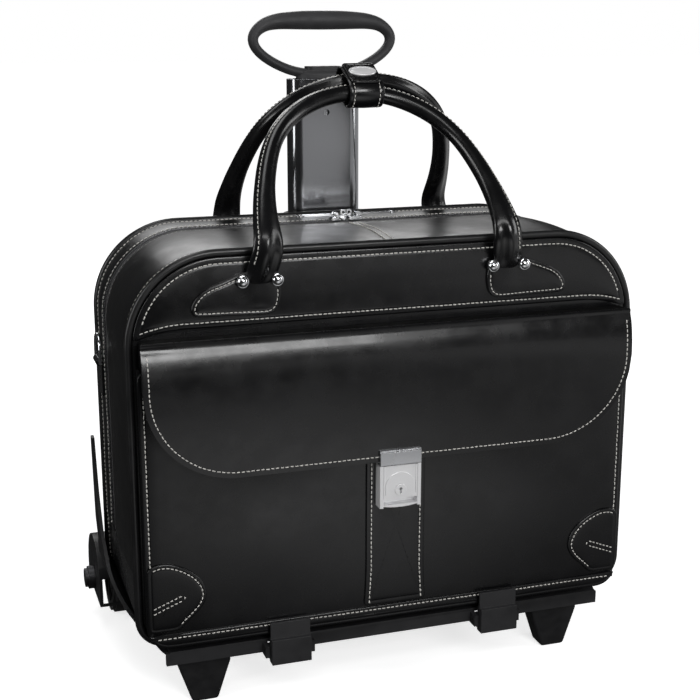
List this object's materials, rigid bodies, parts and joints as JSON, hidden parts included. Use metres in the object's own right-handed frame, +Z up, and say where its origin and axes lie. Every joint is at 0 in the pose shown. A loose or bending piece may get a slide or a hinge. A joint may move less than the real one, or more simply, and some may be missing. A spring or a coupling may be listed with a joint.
{
  "type": "rolling laptop case",
  "caption": "Leather briefcase style laptop case with tied carry handles and locking flap, standing in a wheeled trolley cradle with a telescoping post and loop grip.",
  "frame": {"origin": "on the floor, under the middle of the whole footprint", "axes": "+X to the right seen from the front, +Y from the flap towards the telescoping post, +Z up"},
  "size_m": [0.4704, 0.2806, 0.565],
  "materials": {
    "leather": "gloss",
    "piping": "satin",
    "cloth": "matte",
    "chrome": "polished",
    "steel": "satin",
    "plastic": "matte",
    "rubber": "matte"
  },
  "bodies": {
    "trolley": {"cradle": "plastic", "back_plate": "plastic", "plate_screws": "steel", "post_sleeve": "plastic", "post_collar": "rubber", "wheel_bar": "plastic", "wheel_housings": "plastic", "wheel_axles": "steel", "foot_left": "plastic", "foot_right": "plastic"},
    "case": {"front_panel": "leather", "back_panel": "leather", "front_yoke": "leather", "back_yoke": "leather", "piping_front": "piping", "piping_back": "piping", "gusset_front": "leather", "gusset_back": "leather", "gusset_base": "leather", "zip_tapes": "cloth", "zip_teeth": "steel", "base_board": "cloth", "laptop_divider": "cloth", "front_pocket": "leather", "bottom_band": "leather", "lock_strap": "leather", "corner_patch_left": "leather", "corner_patch_right": "leather", "flap_strip": "leather", "lock_frame": "steel", "tab_front_left": "leather", "tab_front_right": "leather", "tab_back_left": "leather", "tab_back_right": "leather", "tab_rivets": "chrome", "side_tab_left": "leather", "side_tab_right": "leather"},
    "flap": {"flap_panel": "leather", "hasp_plate": "chrome"},
    "lock_slide": {"lock_slider": "steel"},
    "lock_core": {"lock_cylinder": "chrome"},
    "handles": {"handle_front": "leather", "handle_back": "leather", "keeper_band": "leather"},
    "keeper": {"keeper_flap": "leather", "keeper_plate": "chrome"},
    "slider_left": {"zip_slider_left": "chrome"},
    "slider_right": {"zip_slider_right": "chrome"},
    "pull_left": {"zip_pull_left": "chrome"},
    "pull_right": {"zip_pull_right": "chrome"},
    "ring_left": {"side_ring_left": "chrome"},
    "ring_right": {"side_ring_right": "chrome"},
    "wheel_l": {"wheel_left": "rubber"},
    "wheel_r": {"wheel_right": "rubber"},
    "clip_l": {"base_clip_left": "plastic"},
    "clip_r": {"base_clip_right": "plastic"},
    "tube": {"post_tube": "chrome"},
    "grip": {"inner_post": "steel", "grip_loop": "rubber"},
    "button": {"release_button": "plastic"}
  },
  "joints": [
    {"name": "case_lift", "type": "slide", "parent": "trolley", "child": "case", "axis": [0, 0, 1], "range_m": [0, 0.2]},
    {"name": "flap_hinge", "type": "hinge", "parent": "case", "child": "flap", "pos_m": [0, -0.1307, 0.316], "axis": [-1, 0, 0], "range_deg": [0, 110]},
    {"name": "lock_press", "type": "slide", "parent": "case", "child": "lock_slide", "axis": [0, 0, -1], "range_m": [0, 0.005]},
    {"name": "lock_turn", "type": "hinge", "parent": "lock_slide", "child": "lock_core", "pos_m": [0, -0.1297, 0.181], "axis": [0, 1, 0], "range_deg": [0, 90]},
    {"name": "handle_rock", "type": "hinge", "parent": "case", "child": "handles", "pos_m": [0, -0.0297, 0.374], "axis": [1, 0, 0], "range_deg": [-5, 5], "stiffness_Nm_per_rad": 20},
    {"name": "keeper_open", "type": "hinge", "parent": "handles", "child": "keeper", "pos_m": [0, -0.02242, 0.52175], "axis": [-1, 0, 0], "range_deg": [0, 110]},
    {"name": "zip_run_left", "type": "slide", "parent": "case", "child": "slider_left", "axis": [-1, 0, 0], "range_m": [0, 0.13]},
    {"name": "zip_run_right", "type": "slide", "parent": "case", "child": "slider_right", "axis": [1, 0, 0], "range_m": [0, 0.13]},
    {"name": "pull_lift_left", "type": "hinge", "parent": "slider_left", "child": "pull_left", "pos_m": [-0.0105, 0.0083, 0.39], "axis": [0, 1, 0], "range_deg": [0, 95]},
    {"name": "pull_lift_right", "type": "hinge", "parent": "slider_right", "child": "pull_right", "pos_m": [0.0105, 0.0083, 0.39], "axis": [0, -1, 0], "range_deg": [0, 95]},
    {"name": "ring_swing_left", "type": "hinge", "parent": "case", "child": "ring_left", "pos_m": [-0.2206, 0.0323, 0.268], "axis": [0, -1, 0], "range_deg": [0, 150]},
    {"name": "ring_swing_right", "type": "hinge", "parent": "case", "child": "ring_right", "pos_m": [0.2206, 0.0323, 0.268], "axis": [0, 1, 0], "range_deg": [0, 150]},
    {"name": "wheel_spin_left", "type": "hinge", "parent": "trolley", "child": "wheel_l", "pos_m": [-0.202, 0.0983, 0.036], "axis": [1, 0, 0], "continuous": true},
    {"name": "wheel_spin_right", "type": "hinge", "parent": "trolley", "child": "wheel_r", "pos_m": [0.202, 0.0983, 0.036], "axis": [1, 0, 0], "continuous": true},
    {"name": "clip_swing_left", "type": "hinge", "parent": "trolley", "child": "clip_l", "pos_m": [-0.094, -0.1257, 0.047], "axis": [1, 0, 0], "range_deg": [0, 50]},
    {"name": "clip_swing_right", "type": "hinge", "parent": "trolley", "child": "clip_r", "pos_m": [0.094, -0.1257, 0.047], "axis": [1, 0, 0], "range_deg": [0, 50]},
    {"name": "post_slide", "type": "slide", "parent": "trolley", "child": "tube", "axis": [0, 0, 1], "range_m": [-0.11, 0.14]},
    {"name": "grip_slide", "type": "slide", "parent": "tube", "child": "grip", "axis": [0, 0, 1], "range_m": [0, 0.23]},
    {"name": "button_press", "type": "slide", "parent": "grip", "child": "button", "axis": [0, 0, -1], "range_m": [0, 0.0045]}
  ]
}
